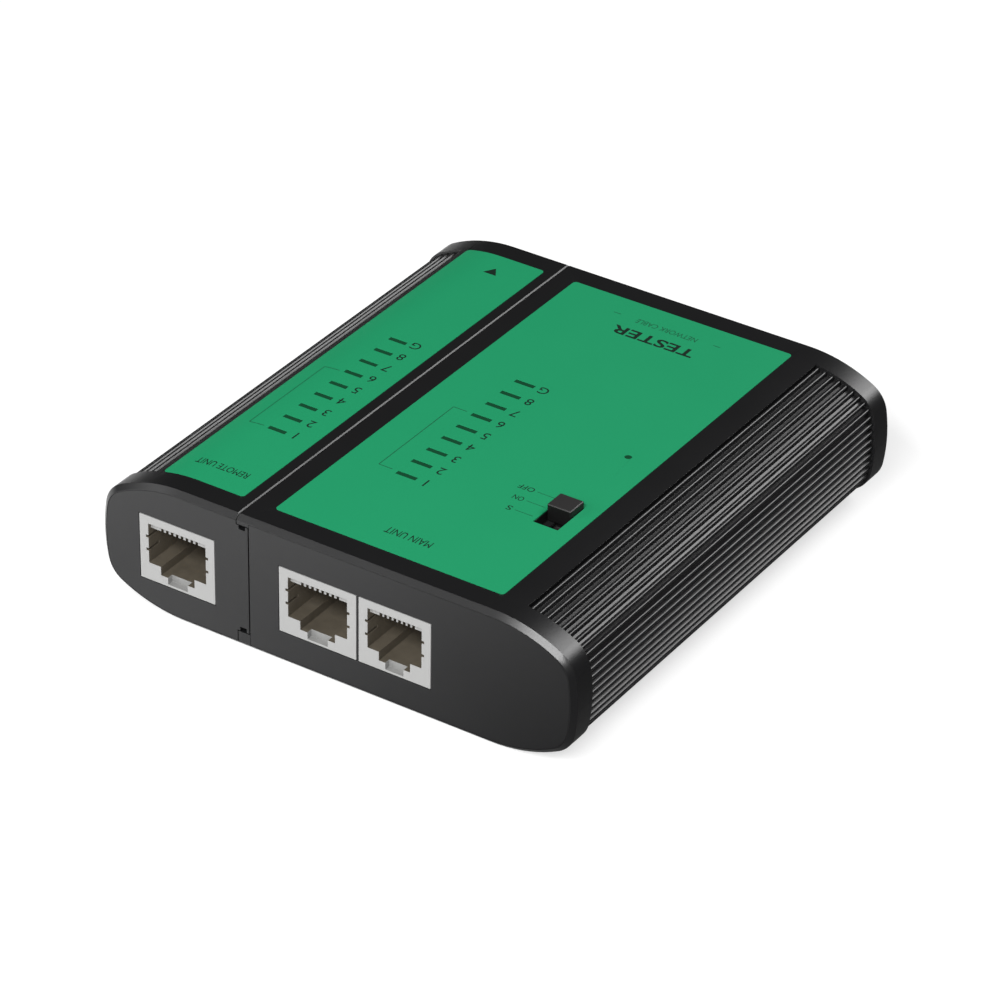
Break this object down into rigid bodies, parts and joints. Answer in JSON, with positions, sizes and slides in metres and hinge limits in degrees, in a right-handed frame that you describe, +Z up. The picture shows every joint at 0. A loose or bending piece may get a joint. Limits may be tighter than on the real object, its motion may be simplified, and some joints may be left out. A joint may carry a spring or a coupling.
{
  "type": "network cable tester",
  "caption": "Hand-held network cable tester: a ribbed main unit with two jacks, bar lamps and a slide switch, and a remote unit that slides off its side.",
  "frame": {"origin": "middle of the underside of the closed tester", "axes": "+Z up out of the labelled face, jacks face -Y, remote unit at -X"},
  "size_m": [0.095, 0.1024, 0.0274],
  "materials": {
    "case_plastic": "fine satin texture",
    "knob_plastic": "satin",
    "label_film": "satin printed film",
    "guide_plastic": "translucent",
    "lamp_resin": "clear resin",
    "contact_gold": "polished",
    "jack_plastic": "satin",
    "board_laminate": "solder mask",
    "screw_steel": "zinc plated",
    "switch_steel": "tinned",
    "battery_can": "painted wrap",
    "terminal_steel": "nickel plated",
    "connector_plastic": "vinyl",
    "foam": "open-cell foam",
    "lead_red": "insulation",
    "lead_black": "insulation",
    "component_black": "moulded",
    "capacitor_can": "sleeved"
  },
  "bodies": {
    "main_unit": {"battery": "battery_can", "battery_connector": "connector_plastic", "battery_foam_pad": "foam", "battery_lead_negative": "lead_black", "battery_lead_positive": "lead_red", "battery_terminals": "terminal_steel", "main_board_screws": "screw_steel", "main_bottom_shell": "case_plastic", "main_case_screws": "screw_steel", "main_circuit_board": "board_laminate", "main_front_panel": "case_plastic", "main_label": "label_film", "main_lamps": "lamp_resin", "main_light_guide": "guide_plastic", "main_narrow_jack": "jack_plastic", "main_narrow_jack_contacts": "contact_gold", "main_rear_panel": "case_plastic", "main_resistors": "component_black", "main_top_shell": "case_plastic", "main_wide_jack": "jack_plastic", "main_wide_jack_contacts": "contact_gold", "power_lamp": "lamp_resin", "power_lens": "guide_plastic", "reservoir_capacitor": "capacitor_can", "sequencer_chip": "component_black", "switch_case": "switch_steel"},
    "remote_unit": {"remote_board_screws": "screw_steel", "remote_bottom_shell": "case_plastic", "remote_case_screws": "screw_steel", "remote_circuit_board": "board_laminate", "remote_diodes": "component_black", "remote_front_panel": "case_plastic", "remote_jack": "jack_plastic", "remote_jack_contacts": "contact_gold", "remote_label": "label_film", "remote_lamps": "lamp_resin", "remote_light_guide": "guide_plastic", "remote_rear_panel": "case_plastic", "remote_top_shell": "case_plastic"},
    "power_switch": {"switch_knob": "knob_plastic"},
    "battery_lid": {"battery_cover": "case_plastic"}
  },
  "joints": [
    {"name": "remote_slide", "type": "slide", "parent": "main_unit", "child": "remote_unit", "axis": [0, 1, 0], "range_m": [0, 0.105]},
    {"name": "switch_slide", "type": "slide", "parent": "main_unit", "child": "power_switch", "axis": [0, -1, 0], "range_m": [0, 0.004]},
    {"name": "battery_cover_slide", "type": "slide", "parent": "main_unit", "child": "battery_lid", "axis": [0, 1, 0], "range_m": [0, 0.06]}
  ]
}
